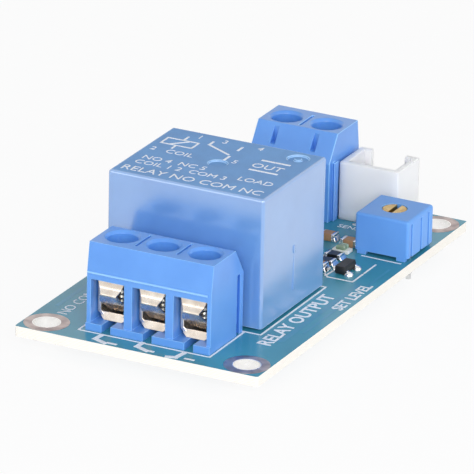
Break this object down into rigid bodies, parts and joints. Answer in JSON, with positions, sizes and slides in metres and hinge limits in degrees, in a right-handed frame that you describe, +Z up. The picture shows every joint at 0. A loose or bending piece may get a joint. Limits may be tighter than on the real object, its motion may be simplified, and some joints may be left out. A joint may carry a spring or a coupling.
{
  "type": "light sensor module",
  "caption": "Relay board with screw terminals at both ends, a two-pin sensor socket and a slotted trimmer that sets the light level at which the relay switches.",
  "frame": {"origin": "centre of the four mounting holes, on the board's underside", "axes": "+Z up out of the board's component side, +Y along the board from the output terminal towards the sensor socket, +X across the board towards the trimmer's side"},
  "size_m": [0.0298, 0.0534, 0.0182],
  "materials": {
    "board": "satin solder mask over glass cloth",
    "plating": "tinned copper",
    "solder": "bright solder",
    "relay_case": "fine matte moulding",
    "bobbin": "natural moulding",
    "winding": "enamelled copper wire",
    "iron": "plated soft iron",
    "contact": "spring alloy with silver buttons",
    "tinned_pin": "tinned",
    "terminal": "satin moulding",
    "nickel_sheet": "bright nickel plate",
    "plated_screw": "plated",
    "socket": "natural moulding",
    "trimmer_case": "satin moulding",
    "brass_part": "turned",
    "ceramic": "fired ceramic",
    "chip_case": "moulded epoxy",
    "resistor": "glazed",
    "capacitor": "fired ceramic",
    "lamp_base": "moulded",
    "lamp_lens": "clear resin"
  },
  "bodies": {
    "module": {"circuit_board": "board", "mounting_hole_plating": "plating", "solder_joints": "solder", "relay_cover": "relay_case", "relay_base": "relay_case", "relay_bobbin": "bobbin", "relay_coil": "winding", "relay_core": "iron", "relay_yoke": "iron", "relay_open_contact": "contact", "relay_closed_contact": "contact", "relay_pins": "tinned_pin", "output_terminal_housing": "terminal", "input_terminal_housing": "terminal", "sensor_socket": "socket", "sensor_socket_pins": "tinned_pin", "trimmer_body": "trimmer_case", "trimmer_element": "ceramic", "trimmer_pins": "tinned_pin", "comparator_body": "chip_case", "comparator_leads": "tinned_pin", "transistor_body": "chip_case", "transistor_leads": "tinned_pin", "diode_body": "chip_case", "diode_leads": "tinned_pin", "chip_resistors": "resistor", "resistor_end_caps": "solder", "chip_capacitors": "capacitor", "capacitor_end_caps": "solder", "indicator_bases": "lamp_base", "indicator_lenses": "lamp_lens", "output_cage_1": "nickel_sheet", "output_cage_2": "nickel_sheet", "output_cage_3": "nickel_sheet", "input_cage_1": "nickel_sheet", "input_cage_2": "nickel_sheet"},
    "relay_switch": {"relay_armature": "iron", "relay_moving_contact": "contact"},
    "trimmer_dial": {"trimmer_rotor": "brass_part", "trimmer_wiper": "contact"},
    "output_guard_1": {"output_wire_guard_1": "nickel_sheet"},
    "output_clamp_screw_1": {"output_screw_1": "plated_screw"},
    "output_guard_2": {"output_wire_guard_2": "nickel_sheet"},
    "output_clamp_screw_2": {"output_screw_2": "plated_screw"},
    "output_guard_3": {"output_wire_guard_3": "nickel_sheet"},
    "output_clamp_screw_3": {"output_screw_3": "plated_screw"},
    "input_guard_1": {"input_wire_guard_1": "nickel_sheet"},
    "input_clamp_screw_1": {"input_screw_1": "plated_screw"},
    "input_guard_2": {"input_wire_guard_2": "nickel_sheet"},
    "input_clamp_screw_2": {"input_screw_2": "plated_screw"}
  },
  "joints": [
    {"name": "output_guard_slide_1", "type": "slide", "parent": "module", "child": "output_guard_1", "axis": [0, 0, -1], "range_m": [-0.001, 0.0005]},
    {"name": "output_screw_turn_1", "type": "hinge", "parent": "output_guard_1", "child": "output_clamp_screw_1", "pos_m": [-0.00508, -0.02021, 0.0088], "axis": [0, 0, -1], "range_deg": [-721, 361]},
    {"name": "output_guard_slide_2", "type": "slide", "parent": "module", "child": "output_guard_2", "axis": [0, 0, -1], "range_m": [-0.001, 0.0005]},
    {"name": "output_screw_turn_2", "type": "hinge", "parent": "output_guard_2", "child": "output_clamp_screw_2", "pos_m": [0, -0.02021, 0.0088], "axis": [0, 0, -1], "range_deg": [-721, 361]},
    {"name": "output_guard_slide_3", "type": "slide", "parent": "module", "child": "output_guard_3", "axis": [0, 0, -1], "range_m": [-0.001, 0.0005]},
    {"name": "output_screw_turn_3", "type": "hinge", "parent": "output_guard_3", "child": "output_clamp_screw_3", "pos_m": [0.00508, -0.02021, 0.0088], "axis": [0, 0, -1], "range_deg": [-721, 361]},
    {"name": "input_guard_slide_1", "type": "slide", "parent": "module", "child": "input_guard_1", "axis": [0, 0, -1], "range_m": [-0.001, 0.0005]},
    {"name": "input_screw_turn_1", "type": "hinge", "parent": "input_guard_1", "child": "input_clamp_screw_1", "pos_m": [-0.00121, 0.0225, 0.0088], "axis": [0, 0, -1], "range_deg": [-721, 361]},
    {"name": "input_guard_slide_2", "type": "slide", "parent": "module", "child": "input_guard_2", "axis": [0, 0, -1], "range_m": [-0.001, 0.0005]},
    {"name": "input_screw_turn_2", "type": "hinge", "parent": "input_guard_2", "child": "input_clamp_screw_2", "pos_m": [-0.00629, 0.0225, 0.0088], "axis": [0, 0, -1], "range_deg": [-721, 361]},
    {"name": "trimmer_turn", "type": "hinge", "parent": "module", "child": "trimmer_dial", "pos_m": [0.01125, 0.0148, 0.0055], "axis": [0, 0, 1], "range_deg": [-130, 130]},
    {"name": "relay_switch_swing", "type": "hinge", "parent": "module", "child": "relay_switch", "pos_m": [-0.00672, -0.0073, 0.01305], "axis": [0, 1, 0], "range_deg": [0, 2.1], "stiffness_Nm_per_rad": 0.02, "springref_deg": -2.86}
  ],
  "couplings": [
    {"joint": "output_screw_turn_1", "follows": "output_guard_slide_1", "rad_per_m": 12566},
    {"joint": "output_screw_turn_2", "follows": "output_guard_slide_2", "rad_per_m": 12566},
    {"joint": "output_screw_turn_3", "follows": "output_guard_slide_3", "rad_per_m": 12566},
    {"joint": "input_screw_turn_1", "follows": "input_guard_slide_1", "rad_per_m": 12566},
    {"joint": "input_screw_turn_2", "follows": "input_guard_slide_2", "rad_per_m": 12566}
  ]
}
